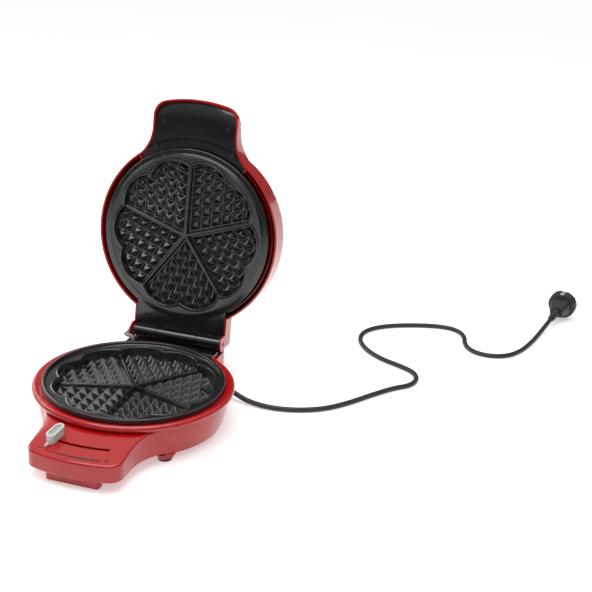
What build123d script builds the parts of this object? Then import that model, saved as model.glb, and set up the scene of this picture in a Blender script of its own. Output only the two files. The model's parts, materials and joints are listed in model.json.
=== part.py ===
from build123d import *
from math import atan2, cos, degrees, hypot, pi, radians, sin, sqrt, tan
import os

# Heart waffle maker: a red base and a red lid, each with a cast five-heart plate, on one rear hinge.
# Everything is drawn about the plate centre with the lid closed and the table at z = 0, in mm.
# -Y is the handle, +X is the right side. The lid is turned open when its parts are written.

# ---------------------------------------------------------------- whole appliance
PLATE_Y = -20.3            # plate centre in the finished frame, so that the origin is mid-length
LID_OPEN = 98.0            # degrees from closed to the rear stop
ROUND_R = 109.0            # radius of both shells at their widest
WALL = 2.4                 # thickness of the base's shells
LID_WALL = 2.0
GAP = 0.3                  # assembly clearance between neighbouring pieces

# ---------------------------------------------------------------- base
FLOOR_Z = 8.4              # underside of the round bottom cover
BODY_Z = 8.0               # lower edge of the round wall
BASE_R = 97.5              # radius of the round wall at that edge
WALL_TOP_R = 103.6         # and where it meets the overhanging bezel
WALL_TOP_Z = 41.4
SEAM_Z = 15.5              # seam under the handle
FRONT_PAD_T = 1.2          # pad under the front foot block
LIP_COVER_Z = 12.0         # underside of the cover below the handle
LIP_Z = 52.0               # top of the lower plate's lip
HANDLE_HALF = 51.0         # half-width of both handles
# Of each handle: the front edge's radius about the plate centre, the circle that the neck's hollow
# curves run into, the radius of those curves and that of the front corners.
BASE_HANDLE = (157.0, 103.0, 60.0, 15.0)
LID_HANDLE = (155.5, 108.4, 45.0, 19.0)
HANDLE_TOP = 40.0          # height of the handle's top where it meets the round wall
HANDLE_FALL = 0.2          # how far the top falls per mm of radius
HANDLE_ROOT = 112.0        # radius where HANDLE_TOP is measured
ROOT_INSIDE = 0.85         # how far a handle's outline runs on into the round body, as a share of its radius
HINGE_HALF = 57.5          # half-width of the hinge blocks
HINGE_BACK = 130.0         # rear face of both hinge blocks
DECK_Z = 41.2              # top of the base behind the plate, which the open lid rests just above
DECK_STEP_Y = 111.0        # in front of this the deck stands higher
DECK_HIGH = 46.2

# ---------------------------------------------------------------- hinge
AXIS_Y = 121.3
AXIS_Z = 51.9
KNUCKLE_R = 6.5
PIN_R = 2.0
MIDDLE_HALF = 24.5         # the base's knuckle
OUTER_END = 54.2           # outer end of the lid's knuckles
RUNNING = 0.06             # radial clearance of the lid's knuckles on the pin

# ---------------------------------------------------------------- lid, closed
LID_Z = 57.0               # edge plane of the lid
LID_TOP = 102.0
LID_WALL_Z = 84.0          # where the upright wall turns into the shoulder
LID_HANDLE_TOP = 83.0      # height of the lid handle where it leaves the dome
LID_HANDLE_FALL = 0.38
LID_BLOCK_TOP = 80.0
LUG_R = 9.2                # cheeks of the hinge block, outside the knuckles
RING_IN = 101.3            # moulded ring around the upper plate
RING_OUT = 102.4
RING_Z = 63.0              # its edge, behind the liners
LINER_IN = 100.8           # the liners run in close to the upper plate
RIB_ANGLE = 37.5           # ribs beside the handle liner, from -Y

# ---------------------------------------------------------------- cooking plates
HEARTS = 5
CUSP_R = 80.0              # heart outline at the dividers and at the notches
LOBE_R = 88.0              # heart outline at the lobes
PITCH = 12.0               # pyramid pitch along each divider
PYRAMID_BASE = 10.6
PYRAMID_TOP = 3.2
PYRAMID_H = 6.0
HEART_EDGE = 7.0           # pyramid centres stay this far inside the heart outline
DIVIDER_TOP = 1.6
DIVIDER_FOOT = 4.6
LOWER_LIP_R = 98.5
LOWER_LIP_W = 3.5
UPPER_LIP_R = 100.0
UPPER_LIP_W = 6.0          # wider, so that the upper plate's raised middle fits inside the lower lip
UPPER_LIP_Z = 52.8
ELEMENT_R = 58.0
ELEMENT_TUBE = 3.25
POST_R = 78.0
POST_ANGLES = (30.0, 150.0, 270.0)
SHIELD_T = 0.8

# ---------------------------------------------------------------- browning slider
SLOT_R = 133.0
SLOT_W = 3.2
SLIDER_SWING = 12.0        # degrees each side of the middle
STEM_W = 7.0
STEM_T = 2.2
KNOB_H = 10.0              # top of the knob above the handle
ARM_Z = 17.0
MARK_R = 149.5

# ---------------------------------------------------------------- lamps and the lid's wires
LAMP_X = 9.0
LAMP_Y = -128.0
LAMP_R = 3.4
SLEEVE_R = 2.4
SLEEVE_BASE = (-49.0, 104.0)
SLEEVE_X = -61.5           # where it runs past the hinge
SLEEVE_LID = (122.0, 64.0)  # where it enters the lid's left wall, as y and z of the closed lid

# ---------------------------------------------------------------- mains lead
CORD_R = 3.0
RELIEF_ROOT = Vector(57.5, 98.0, 19.0)
RELIEF_DIR = Vector(0.90, -0.30, -0.32).normalized()
RELIEF_LENGTH = 22.0
PLUG_R = 19.2              # radius of the plug's front disc
PLUG_TILT = 9.0            # degrees that the plug's nose points up as it lies on the table
PLUG_HEADING = 76.0        # degrees from +X
PLUG_TAIL = 52.0           # from the plug's face back to the lead
PLUG_FACE = Vector(423.5, 522.0, 20.6)
CORD_LEAD_OUT = 13.0       # straight lead beyond the strain relief
CORD_LEAD_IN = 20.0        # and before the plug
# The lead's route on the table, from the strain relief to the plug. Its two ends are worked out.
CORD_POINTS = [
    (108, 83.2, 4.0), (134, 81.5, 3), (163, 88.5, 3), (190, 104.5, 3),
    (212, 131, 3), (231, 161, 3), (251, 189, 3), (268, 204, 3), (273, 223.5, 3), (266, 242, 3),
    (247, 254, 3), (217, 266, 3), (191, 289, 3), (177, 317, 3), (178, 345, 3), (195, 369, 3),
    (221, 386, 3), (247, 397, 3), (266, 402.5, 3), (284, 403.5, 3), (299, 394.5, 3), (307, 379, 3),
    (309.5, 361, 3), (317, 344, 3), (332, 333.5, 3), (352, 333.5, 3), (370, 344, 3), (383, 366, 3),
    (391, 393, 3), (396.5, 417, 3),
]


# ---------------------------------------------------------------- helpers
def cyl(radius, z0, z1, x=0.0, y=0.0):
    return Pos(x, y, (z0 + z1) / 2) * Cylinder(radius, z1 - z0)


def block(x0, x1, y0, y1, z0, z1):
    return Pos((x0 + x1) / 2, (y0 + y1) / 2, (z0 + z1) / 2) * Box(x1 - x0, y1 - y0, z1 - z0)


def polar(radius, angle):
    return radius * cos(radians(angle)), radius * sin(radians(angle))


def turned(edges):
    """Solid of revolution about Z from edges drawn in (radius, 0, height)."""
    return revolve(make_face(edges), Axis.Z)


def turned_points(points):
    return turned(Polyline(*[(r, 0, z) for r, z in points], close=True))


def rod(radius, start, direction, length, end_radius=None):
    """Round bar or cone from a point along a direction."""
    place = Plane(origin=start, z_dir=direction)
    if end_radius is None:
        return place * Pos(0, 0, length / 2) * Cylinder(radius, length)
    return place * Pos(0, 0, length / 2) * Cone(radius, end_radius, length)


def group(pieces):
    """Separate solids of one node."""
    return Compound([solid for piece in pieces for solid in piece.solids()])


def x_bar(radius, x0, x1, y=AXIS_Y, z=AXIS_Z):
    return Pos((x0 + x1) / 2, y, z) * Rot(0, 90, 0) * Cylinder(radius, x1 - x0)


def arc_between(centre, radius, start, end):
    """Shorter arc of a circle between two of its points."""
    mid = Vector((start[0] + end[0]) / 2 - centre[0], (start[1] + end[1]) / 2 - centre[1]).normalized()
    middle = (centre[0] + mid.X * radius, centre[1] + mid.Y * radius)
    return ThreePointArc(start, middle, end)


def handle_face(handle, inset=0.0):
    """Handle outline: hollow necks, straight sides, rounded corners and a curved front edge."""
    front_r, circle, neck_r, corner_r = handle
    half = HANDLE_HALF - inset
    front = front_r - inset
    neck = neck_r + inset
    corner = corner_r - inset
    run_in = circle - inset
    neck_x = half + neck
    neck_y = -sqrt((run_in + neck) ** 2 - neck_x ** 2)
    root = (neck_x * run_in / (run_in + neck), neck_y * run_in / (run_in + neck))
    side_top = (half, neck_y)
    corner_y = -sqrt((front - corner) ** 2 - (half - corner) ** 2)
    side_end = (half, corner_y)
    scale = front / (front - corner)
    front_end = ((half - corner) * scale, corner_y * scale)
    inner = (root[0] * ROOT_INSIDE, root[1] * ROOT_INSIDE)
    edges = []
    for side in (1, -1):
        flip = lambda p: (p[0] * side, p[1])
        edges.append(arc_between(flip((neck_x, neck_y)), neck, flip(root), flip(side_top)))
        edges.append(Line(flip(side_top), flip(side_end)))
        edges.append(arc_between(flip((half - corner, corner_y)), corner, flip(side_end), flip(front_end)))
        edges.append(Line(flip(inner), flip(root)))
    edges.append(arc_between((0, 0), front, front_end, (-front_end[0], front_end[1])))
    edges.append(Line(inner, (-inner[0], inner[1])))
    return make_face(edges)


def block_face(inset=0.0, front_y=60.0):
    """Outline of the hinge block at the back of a shell."""
    half = HINGE_HALF - inset
    back = HINGE_BACK - inset
    face = Pos(0, (front_y + back) / 2) * Rectangle(2 * half, back - front_y)
    rear = face.vertices().sort_by(Axis.Y)[-2:]
    return fillet(rear, 5.0 - min(inset, 3.0))


def under_cone(top, fall, drop=0.0):
    """Everything below a surface that falls with radius, as the top of a handle does."""
    apex = top + fall * HANDLE_ROOT - drop
    far = 175.0
    return turned_points([(0, -5), (far, -5), (far, apex - fall * far), (0, apex)])


def base_top(radius):
    return HANDLE_TOP - HANDLE_FALL * (radius - HANDLE_ROOT)


def prism(face, z0, z1):
    return Pos(0, 0, z0) * extrude(face, z1 - z0)


def stadium(length, width):
    """Plan of a slab with round ends, pointing to -Y."""
    return Rot(0, 0, 90) * SlotOverall(length, width)


def screw(x, y, z_head, z_tip, head_r=2.6, shank_r=1.4):
    """Screw driven upwards when z_tip is above z_head, with a recessed cross in its head."""
    way = 1 if z_tip > z_head else -1
    head_h = 1.7
    low, high = sorted((z_head, z_head + way * head_h))
    head = cyl(head_r, low, high, x, y)
    low, high = sorted((z_head + way * head_h, z_tip))
    shank = cyl(shank_r, low, high, x, y)
    cross = Box(2.8, 0.7, 1.6) + Box(0.7, 2.8, 1.6)
    return head + shank - Pos(x, y, z_head) * cross


# ---------------------------------------------------------------- shells
def round_base(inset=0.0):
    """Round body of the base: a wall that leans out upwards and an overhanging rounded bezel."""
    t = inset
    low = BODY_Z if inset == 0 else -1.0
    wall_top = (WALL_TOP_R - t, 0, WALL_TOP_Z)
    edges = [
        Line((0, 0, low), (BASE_R - t, 0, low)),
        Line((BASE_R - t, 0, low), (BASE_R - t, 0, BODY_Z + 0.01)),
        ThreePointArc((BASE_R - t, 0, BODY_Z + 0.01), (102.0 - t, 0, 24.0), wall_top),
    ]
    if inset == 0:
        edges += [
            Line(wall_top, (108.4, 0, 42.6)),
            Line((108.4, 0, 42.6), (ROUND_R, 0, 44.0)),
            ThreePointArc((ROUND_R, 0, 44.0), (108.1, 0, 47.2), (105.2, 0, 48.4)),
            Line((105.2, 0, 48.4), (99.3, 0, 46.3)),
            Line((99.3, 0, 46.3), (0, 0, 46.3)),
        ]
    else:
        edges += [
            Line(wall_top, (WALL_TOP_R - t, 0, 46.3 - t)),
            Line((WALL_TOP_R - t, 0, 46.3 - t), (0, 0, 46.3 - t)),
        ]
    last = edges[-1] @ 1
    edges.append(Line(last, (0, 0, low)))
    return turned(edges)


def base_housing():
    outer_handle = prism(handle_face(BASE_HANDLE), SEAM_Z, 60) & under_cone(HANDLE_TOP, HANDLE_FALL)
    rim = [e for e in outer_handle.edges() if e.center().Z > 29 and hypot(e.center().X, e.center().Y) > 99]
    rim = [e for e in rim if e.length > 8 and abs(e.tangent_at(0.5).Z) < 0.3]
    outer_handle = fillet(rim, 3.0)
    outer = round_base() + outer_handle + prism(block_face(), BODY_Z, DECK_Z)
    inner_handle = prism(handle_face(BASE_HANDLE, WALL), 2, 60) & under_cone(HANDLE_TOP, HANDLE_FALL, WALL)
    shell = outer - round_base(WALL) - inner_handle
    shell -= prism(block_face(WALL), -1, 60)
    shell -= cyl(99.4, 40.0, 60)
    # the ledge that the lower plate's skirt stands on
    ledge = turned_points([(96.0, 42.6), (104.6, 42.6), (104.6, 44.4), (96.0, 44.4)])
    shell += ledge - block(-HINGE_HALF + WALL, HINGE_HALF - WALL, 60, 130, 40, 50)
    for x, y in base_pillars():
        shell += housing_pillar(x, y)
    slot = turned_points([(SLOT_R - SLOT_W / 2, 20), (SLOT_R + SLOT_W / 2, 20),
                          (SLOT_R + SLOT_W / 2, 50), (SLOT_R - SLOT_W / 2, 50)])
    half = degrees(STEM_W / 2 / SLOT_R) + SLIDER_SWING + 0.4
    shell -= slot & wedge(-90 - half, -90 + half)
    shell -= rod(4.7, RELIEF_ROOT - RELIEF_DIR * 8, RELIEF_DIR, 16)
    return shell


def wedge(angle0, angle1, z0=-5.0, z1=110.0, reach=190.0):
    """Angular sector about the plate centre."""
    points = [(0, 0)] + [polar(reach, angle0 + (angle1 - angle0) * i / 4) for i in range(5)]
    return prism(make_face(Polyline(*points, close=True)), z0, z1)


def base_pillars():
    handle = [(-40.0, -137.0), (40.0, -137.0)]
    return handle + [polar(87.0, a) for a in (205.0, 335.0, 35.0, 145.0)]


def pillar_floor(x, y):
    return SEAM_Z if y < -100 else 10.8


def housing_pillar(x, y):
    low = pillar_floor(x, y)
    top = base_top(hypot(x, y)) - 1.0 if y < -100 else 23.0
    pillar = cyl(4.2, low, top, x, y)
    if y > -100:
        angle = degrees(atan2(y, x))
        web = Rot(0, 0, angle) * block(88.0, 104.0, -1.2, 1.2, low, top)
        pillar += web & round_base(WALL / 2)
    return pillar - cyl(1.6, low - 1, low + 9, x, y)


def bottom_cover():
    """Floor of the base: a round dish, the lip below the handle and the block of the front foot."""
    inset = WALL + GAP
    cover = cyl(BASE_R - inset, FLOOR_Z, 10.8) + prism(block_face(inset), FLOOR_Z, 10.8)
    grip = prism(handle_face(BASE_HANDLE), LIP_COVER_Z, SEAM_Z)
    low_edges = grip.faces().sort_by(Axis.Z)[0].edges()
    grip = fillet([e for e in low_edges if hypot(e.center().X, e.center().Y) > 99], 1.8)
    within = prism(handle_face(BASE_HANDLE, WALL + GAP), 0, 30)
    cover += (grip - round_base(-0.1)) + ((grip & within) - cyl(92.6, 0, 30))
    step = turned_points([(92.4, FLOOR_Z), (BASE_R - inset, FLOOR_Z), (96.9, SEAM_Z), (92.4, SEAM_Z)])
    cover += step & within
    foot = block(-29, 29, -149, -136.5, FRONT_PAD_T, LIP_COVER_Z + 1)
    cover += fillet(foot.edges().filter_by(Axis.Z), 4.0)
    for x, y in round_feet():
        boss = Pos(x, y, 5.2) * Cone(8.0, 11.0, 5.2) & cyl(BASE_R + 0.6, 0, 10)
        cover += boss + (cyl(10.5, 7.7, 9.0, x, y) & cyl(BASE_R - inset, 7, 10))
    for i in range(9):
        x = -40 + 10 * i
        cover -= Pos(x, 0, 9) * prism(stadium(34, 3.2), -2, 4)
    for x, y in base_pillars():
        low = LIP_COVER_Z if y < -100 else FLOOR_Z
        cover -= cyl(1.7, low - 1, 20, x, y) + cyl(3.0, low - 1, low + 1.9, x, y)
    return cover


def round_feet():
    return [(-64.0, -65.0), (64.0, -65.0), (-60.0, 72.0), (60.0, 72.0)]


def lid_profile(inset=0.0):
    """Round body of the lid: an upright edge, a rounded shoulder and a flat dome."""
    t = inset
    low = LID_Z if inset == 0 else LID_Z - 3
    wall_top = (108.5 - t, 0, LID_WALL_Z)
    shoulder = (96.0 - t * 0.4, 0, LID_TOP - 3.6 - t)
    return turned([
        Line((0, 0, low), (ROUND_R - t, 0, low)),
        Line((ROUND_R - t, 0, low), wall_top),
        ThreePointArc(wall_top, (105.4 - t * 0.8, 0, 93.4 - t * 0.6), shoulder),
        ThreePointArc(shoulder, (68.0, 0, LID_TOP - 0.9 - t), (40.0, 0, LID_TOP - t)),
        Line((40.0, 0, LID_TOP - t), (0, 0, LID_TOP - t)),
        Line((0, 0, LID_TOP - t), (0, 0, low)),
    ])


def lid_shell():
    grip = prism(handle_face(LID_HANDLE), LID_Z, 100) & under_cone(LID_HANDLE_TOP, LID_HANDLE_FALL)
    rim = [e for e in grip.edges() if e.center().Z > LID_Z + 4 and hypot(e.center().X, e.center().Y) > 99]
    rim = [e for e in rim if e.length > 8 and abs(e.tangent_at(0.5).Z) < 0.42]
    grip = fillet(rim, 5.0)
    rear = prism(block_face(), LID_Z, LID_BLOCK_TOP)
    rear = fillet(rear.faces().sort_by(Axis.Z)[-1].edges().sort_by(Axis.Y)[1:], 4.5)
    inner_grip = prism(handle_face(LID_HANDLE, LID_WALL), 40, 100)
    inner_grip &= under_cone(LID_HANDLE_TOP, LID_HANDLE_FALL, LID_WALL)
    outer = lid_profile() + grip + rear
    shell = outer - lid_profile(LID_WALL) - inner_grip
    shell -= prism(block_face(LID_WALL), 40, LID_BLOCK_TOP - LID_WALL)
    for side in (-1, 1):
        x0, x1 = sorted((side * HINGE_HALF, side * (HINGE_HALF - LID_WALL)))
        shell += x_bar(LUG_R, x0, x1) + block(x0, x1, AXIS_Y - LUG_R, AXIS_Y + 8.0, AXIS_Z, LID_Z + 1)
    shell -= x_bar(PIN_R + 0.5, -60, 60)
    dome = lid_profile(LID_WALL / 2)
    ring = turned_points([(RING_IN, RING_Z), (RING_OUT, RING_Z), (RING_OUT, 101), (RING_IN, 101)])
    ribs = ring & dome
    for angle in (-90 - RIB_ANGLE, -90 + RIB_ANGLE):
        rib = Rot(0, 0, angle) * block(RING_OUT - 0.8, ROUND_R - 1.0, -0.9, 0.9, LID_Z + 0.4, 96)
        ribs += rib & dome
    shell += ribs
    for x, y in liner_screws():
        roof = LID_HANDLE_TOP - LID_HANDLE_FALL * (hypot(x, y) - HANDLE_ROOT) - 1.2
        shell += cyl(3.6, 62.0, min(roof, 84.0), x, y) - cyl(1.5, 61, 70, x, y)
    for x, y in block_screws():
        shell += cyl(3.6, 60.4, LID_BLOCK_TOP - 1.0, x, y) - cyl(1.5, 60, 70, x, y)
    for angle in POST_ANGLES:
        x, y = polar(POST_R, angle + 60)
        shell += (cyl(4.5, 71.0, 101, x, y) & dome) - cyl(1.5, 70, 80, x, y)
    # way through for the base's knuckle when the lid stands open
    shell -= block(-26, 26, 123.0, 132.0, LID_Z - 1, 74.0)
    for x in (-LAMP_X, LAMP_X):
        shell -= cyl(LAMP_R + 0.1, 60, 100, x, LAMP_Y)
    shell -= x_bar(SLEEVE_R + 0.5, -60, -54, *SLEEVE_LID)
    return shell


def liner_screws():
    return [(-39.0, -127.0), (39.0, -127.0), (-46.5, -97.5), (46.5, -97.5)]


def block_screws():
    return [(-44.0, 103.5), (44.0, 103.5)]


# ---------------------------------------------------------------- plates
def lobe_outline(shrink=0.0):
    """Ten round lobes about the centre: five hearts, point to point."""
    step = 180.0 / HEARTS
    edges = []
    for i in range(2 * HEARTS):
        start = -90 + step * i
        edges.append(ThreePointArc(polar(CUSP_R - shrink, start), polar(LOBE_R - shrink, start + step / 2),
                                   polar(CUSP_R - shrink, start + step)))
    return make_face(edges)


def pyramid(angle_between):
    """Truncated pyramid on a rhombus, its sides along two dividers, standing on z = 0."""
    faces = []
    for side, z in ((PYRAMID_BASE, 0.0), (PYRAMID_TOP, PYRAMID_H)):
        ax, ay = side / 2, 0.0
        bx, by = [side / 2 * f(radians(angle_between)) for f in (cos, sin)]
        corners = [(ax + bx, ay + by), (-ax + bx, -ay + by), (-ax - bx, -ay - by), (ax - bx, ay - by)]
        faces.append(Pos(0, 0, z) * make_face(Polyline(*corners, close=True)))
    return loft(faces)


def heart_pyramids(floor_z):
    """Pyramids of one heart whose dividers lie at 0 and 72 degrees."""
    spread = 360.0 / HEARTS
    one = pyramid(spread)
    inset = 4.2
    found = []
    for i in range(6):
        for j in range(6):
            a, b = inset + PITCH * (i + 0.5), inset + PITCH * (j + 0.5)
            x = a + b * cos(radians(spread))
            y = b * sin(radians(spread))
            if hypot(x, y) < lobe_reach(degrees(atan2(y, x))) - HEART_EDGE:
                found.append(Pos(x, y, floor_z) * one)
    return found


def lobe_reach(angle):
    """Radius of the lobed outline in a direction, in degrees from a divider."""
    step = 180.0 / HEARTS
    lobe_r = 31.6
    centre = LOBE_R - lobe_r
    off = radians(angle % step - step / 2)
    return centre * cos(off) + sqrt(lobe_r ** 2 - (centre * sin(off)) ** 2)


def cooking_plate(lip_r, lip_w, ledge_z, floor_z, back_z, divider_z, skirt_z):
    """Cast plate with its cooking side up and its lip at z = 0."""
    plate = turned_points([
        (0, back_z), (90.5, back_z), (93.0, skirt_z), (lip_r, skirt_z), (lip_r, 0),
        (lip_r - lip_w, 0), (lip_r - lip_w - 0.8, ledge_z), (0, ledge_z),
    ])
    pocket = loft([Pos(0, 0, floor_z) * lobe_outline(1.8), Pos(0, 0, ledge_z) * lobe_outline(),
                   Pos(0, 0, ledge_z + 3.0) * lobe_outline(-0.45)], ruled=True)
    plate -= pocket
    bars = []
    height = divider_z - floor_z
    for i in range(HEARTS):
        section = Plane.YZ * Polyline((-DIVIDER_FOOT / 2, floor_z - 0.5), (DIVIDER_FOOT / 2, floor_z - 0.5),
                                      (DIVIDER_TOP / 2, divider_z), (-DIVIDER_TOP / 2, divider_z), close=True)
        bar = extrude(make_face(section), CUSP_R + 1.5 - 0.12 * height, dir=(1, 0, 0))
        bars.append(Rot(0, 0, -90 + 360.0 / HEARTS * i) * bar)
    plate = plate.fuse(*bars)
    peaks = []
    for i in range(HEARTS):
        turn = Rot(0, 0, -90 + 360.0 / HEARTS * i)
        peaks += [turn * p for p in heart_pyramids(floor_z)]
    plate = plate.fuse(*peaks)
    groove = Pos(0, 0, back_z - ELEMENT_TUBE + 1.0) * Torus(ELEMENT_R, ELEMENT_TUBE + 0.1)
    plate -= groove
    for angle in POST_ANGLES:
        x, y = polar(POST_R, angle)
        plate += cyl(4.0, back_z - 8.0, back_z + 0.2, x, y) - cyl(1.6, back_z - 9, back_z - 1, x, y)
    return plate


def lower_plate():
    return Pos(0, 0, LIP_Z) * cooking_plate(LOWER_LIP_R, LOWER_LIP_W, -3.5, -15.5, -19.0, -10.0, -7.5)


def upper_plate():
    local = cooking_plate(UPPER_LIP_R, UPPER_LIP_W, 3.0, -5.0, -8.5, 0.4, -6.0)
    return Pos(0, 0, UPPER_LIP_Z) * Rot(0, 180, 0) * local


def heating_element(back_z, way):
    """Sheathed ring with two cold ends that turn away from the plate at the rear."""
    z = back_z + way * (ELEMENT_TUBE - 1.0)
    gap = 10.0
    ring = Pos(0, 0, z) * Torus(ELEMENT_R, ELEMENT_TUBE) - wedge(90 - gap, 90 + gap)
    for side in (-1, 1):
        x, y = polar(ELEMENT_R, 90 + side * gap)
        low, high = sorted((z, z + way * 13.0))
        ring += cyl(ELEMENT_TUBE, low, high, x, y) + Pos(x, y, z) * Sphere(ELEMENT_TUBE)
        low, high = sorted((z + way * 13.0, z + way * 17.0))
        ring += cyl(1.2, low, high, x, y)
    return ring


def shield_holes():
    return [polar(ELEMENT_R, 80.0), polar(ELEMENT_R, 100.0)]


def heat_shield(z, way, rim_z):
    """Pressed tray behind a plate, turned towards it at the edge."""
    t = SHIELD_T * way
    tray = turned_points([(0, z), (89.0, z), (93.6, z + 4 * way), (93.6, rim_z), (92.8, rim_z),
                          (92.8, z + 4.4 * way), (88.7, z + t), (0, z + t)])
    low, high = sorted((z - 2, z + 2))
    for x, y in shield_holes():
        tray -= cyl(5.0, low, high, x, y)
    for angle in POST_ANGLES:
        x, y = polar(POST_R, angle)
        tray -= cyl(1.8, low, high, x, y)
    return tray


# ---------------------------------------------------------------- hinge
def base_hinge_block():
    """Black rear deck of the base with the middle knuckle."""
    inset = WALL + 0.2
    deck = prism(block_face(inset), 37.8, DECK_Z) + (
        prism(block_face(inset), DECK_Z - 1, DECK_HIGH) & block(-70, 70, 40, DECK_STEP_Y, 0, 60))
    deck -= cyl(RING_IN - 1.5, 30, 60)
    knuckle = x_bar(KNUCKLE_R, -MIDDLE_HALF, MIDDLE_HALF)
    web = block(-MIDDLE_HALF, MIDDLE_HALF, AXIS_Y - KNUCKLE_R, AXIS_Y + 5.6, DECK_Z - 1, AXIS_Z)
    deck += knuckle + web
    deck -= x_bar(PIN_R + 0.02, -60, 60)
    for x in (-30.0, 30.0):
        deck -= cyl(1.6, 30, 50, x, 119.0)
    deck -= cyl(SLEEVE_R + 0.5, 30, 60, *SLEEVE_BASE)
    return deck


def hinge_pin():
    return x_bar(PIN_R, -53.6, 53.6)


def lid_hinge_liner():
    """Black cover inside the lid's hinge block with the two outer knuckles."""
    inset = LID_WALL + 0.2
    plate = prism(block_face(inset), 57.8, 60.2) - cyl(LINER_IN, 50, 70)
    plate -= block(-MIDDLE_HALF - 0.9, MIDDLE_HALF + 0.9, 117.4, 140, 50, 70)
    for side in (-1, 1):
        x0, x1 = sorted((side * (MIDDLE_HALF + 0.6), side * OUTER_END))
        plate += x_bar(KNUCKLE_R, x0, x1)
        plate += block(x0, x1, AXIS_Y - KNUCKLE_R, AXIS_Y + 5.7, AXIS_Z, 58.5)
    plate -= x_bar(PIN_R + RUNNING, -60, 60)
    for x, y in block_screws():
        plate -= cyl(1.7, 50, 70, x, y) + cyl(2.9, 50, 59.2, x, y)
    return plate


def lid_handle_liner():
    """Black grip cover: a step beside the plate, then a surface that hollows towards the front."""
    t = 2.2
    profile = [
        Polyline((LINER_IN, 0, 61.7), (LINER_IN, 0, 59.5), (109.6, 0, 59.5), (111.6, 0, 58.0),
                 (124.0, 0, 58.0)),
        ThreePointArc((124.0, 0, 58.0), (139.0, 0, 59.4), (152.6, 0, 63.2)),
        Polyline((152.6, 0, 63.2), (152.6, 0, 63.2 + t), (151.0, 0, 63.2 + t)),
        ThreePointArc((151.0, 0, 63.2 + t), (138.4, 0, 59.4 + t), (124.0, 0, 58.0 + t)),
        Polyline((124.0, 0, 58.0 + t), (112.2, 0, 58.0 + t), (110.2, 0, 61.7), (LINER_IN, 0, 61.7)),
    ]
    liner = turned(profile) & prism(handle_face(LID_HANDLE, LID_WALL + 0.2), 50, 80)
    liner &= wedge(-90 - RIB_ANGLE + 1.0, -90 + RIB_ANGLE - 1.0)
    for x, y in liner_screws():
        liner -= cyl(1.7, 50, 70, x, y) + cyl(2.9, 50, 59.4, x, y)
    return liner


def lead_sleeve():
    """Woven sleeve over the lid's wires, from the base's deck round the hinge end into the lid."""
    x, y = SLEEVE_BASE
    points = [Vector(x, y, 39.0), Vector(x, y, 51.0), Vector(SLEEVE_X, y + 4.0, 49.0),
              Vector(SLEEVE_X, 124.0, 46.8), opened_point(SLEEVE_X, *SLEEVE_LID),
              opened_point(-53.0, *SLEEVE_LID)]
    path = FilletPolyline(*points, radius=[4.2, 4.2, 8.0, 3.0])
    return sweep(Plane(origin=points[0], z_dir=(0, 0, 1)) * Circle(SLEEVE_R), path=path)


def opened_point(x, y, z):
    c, s = cos(radians(LID_OPEN)), sin(radians(LID_OPEN))
    dy, dz = y - AXIS_Y, z - AXIS_Z
    return Vector(x, AXIS_Y + c * dy + s * dz, AXIS_Z - s * dy + c * dz)


# ---------------------------------------------------------------- controls and electrics
def slider_turn(part):
    return Rot(0, 0, -SLIDER_SWING) * part


def slider_knob():
    """Silver thumb piece parallel to the handle's top, with a grooved crown and a pointed toe."""
    band = under_cone(HANDLE_TOP, HANDLE_FALL, -KNOB_H) - under_cone(HANDLE_TOP, HANDLE_FALL, -0.5)
    body = prism(Pos(0, -SLOT_R + 1.5) * stadium(22.0, 10.4), 20, 60)
    toe = prism(make_face(Polyline((-2.6, -139.5), (2.6, -139.5), (0.5, -147.5), (-0.5, -147.5),
                                   close=True)), 20, 60)
    toe &= under_cone(HANDLE_TOP, HANDLE_FALL, -2.6)
    crown = under_cone(HANDLE_TOP, HANDLE_FALL, 1.2 - KNOB_H)
    groove = prism(Pos(0, -SLOT_R + 1.5) * stadium(17.0, 5.8), 20, 60) - crown
    knob = ((body + toe) & band) - groove
    knob -= block(-STEM_W / 2 - 0.1, STEM_W / 2 + 0.1, -SLOT_R - STEM_T / 2 - 0.1, -SLOT_R + STEM_T / 2 + 0.1,
                  20, 41.0)
    return slider_turn(knob)


def knob_insert():
    crown = under_cone(HANDLE_TOP, HANDLE_FALL, 0.8 - KNOB_H)
    crown -= under_cone(HANDLE_TOP, HANDLE_FALL, 1.15 - KNOB_H)
    return slider_turn(prism(Pos(0, -SLOT_R + 1.5) * stadium(16.6, 5.4), 20, 60) & crown)


def lever_arm():
    arm = block(-4, 4, -SLOT_R - STEM_T / 2, 0, ARM_Z, ARM_Z + 1.5) + cyl(6.5, ARM_Z, ARM_Z + 1.5)
    arm += block(-STEM_W / 2, STEM_W / 2, -SLOT_R - STEM_T / 2, -SLOT_R + STEM_T / 2, ARM_Z, 40.8)
    return slider_turn(arm - cyl(3.02, ARM_Z - 1, ARM_Z + 3))


def thermostat_spindle():
    return cyl(3.0, 14.0, 26.0) - block(-0.5, 0.5, -4, 4, 13, 15.0) + cyl(4.2, 15.2, ARM_Z)


def thermostat():
    body = fillet(block(-12, 12, -10, 10, 22.0, 30.0).edges().filter_by(Axis.Z), 2.0)
    body += cyl(8.0, 30.0, LIP_Z - 19.0 - 0.05)
    body -= cyl(3.06, 20, 26.4)
    for side in (-1, 1):
        body += block(side * 15.5 - 3.5, side * 15.5 + 3.5, -3, 3, 27.0, 27.8)
    return body


def thermostat_bracket():
    strap = block(-13.6, 13.6, -5, 5, 21.0, 21.95) - cyl(5.2, 20, 23)
    strap += block(-5, 5, -17.5, 17.5, 21.0, 21.95) - cyl(5.2, 20, 23)
    for side in (-1, 1):
        y = side * 17.0
        strap += block(-5, 5, y - 0.5, y + 0.5, 21.0, LIP_Z - 19.05)
    return strap


def thermal_fuse():
    return Pos(34, 26, 30.4) * Rot(0, 90, 30) * (Cylinder(2.2, 12) + Cylinder(0.6, 20))


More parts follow.
